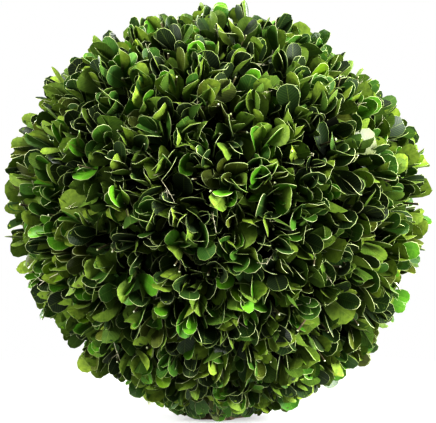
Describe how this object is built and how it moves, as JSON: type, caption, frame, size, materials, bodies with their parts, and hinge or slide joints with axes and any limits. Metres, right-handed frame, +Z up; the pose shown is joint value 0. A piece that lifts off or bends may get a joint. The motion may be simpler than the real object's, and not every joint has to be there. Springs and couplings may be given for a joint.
{
  "type": "box topiary ball",
  "caption": "Clipped evergreen box ball, a slightly uneven sphere of small leaves on a short hidden stem, rooted at ground level, for a garden or patio.",
  "frame": {"origin": "middle of the stem's flat cut at ground level, under the ball", "axes": "+Z up along the stem; +X to the right of a viewer facing the front along +Y"},
  "size_m": [0.3191, 0.3101, 0.308],
  "materials": {
    "bark": "dull grey-brown bark, finely ridged along the stem",
    "leaves": "leathery leaves, glossy deep green above, matt yellow-green beneath, with a thin pale margin"
  },
  "bodies": {
    "root": {"stem": "bark", "leaf_ball": "leaves"}
  },
  "joints": []
}
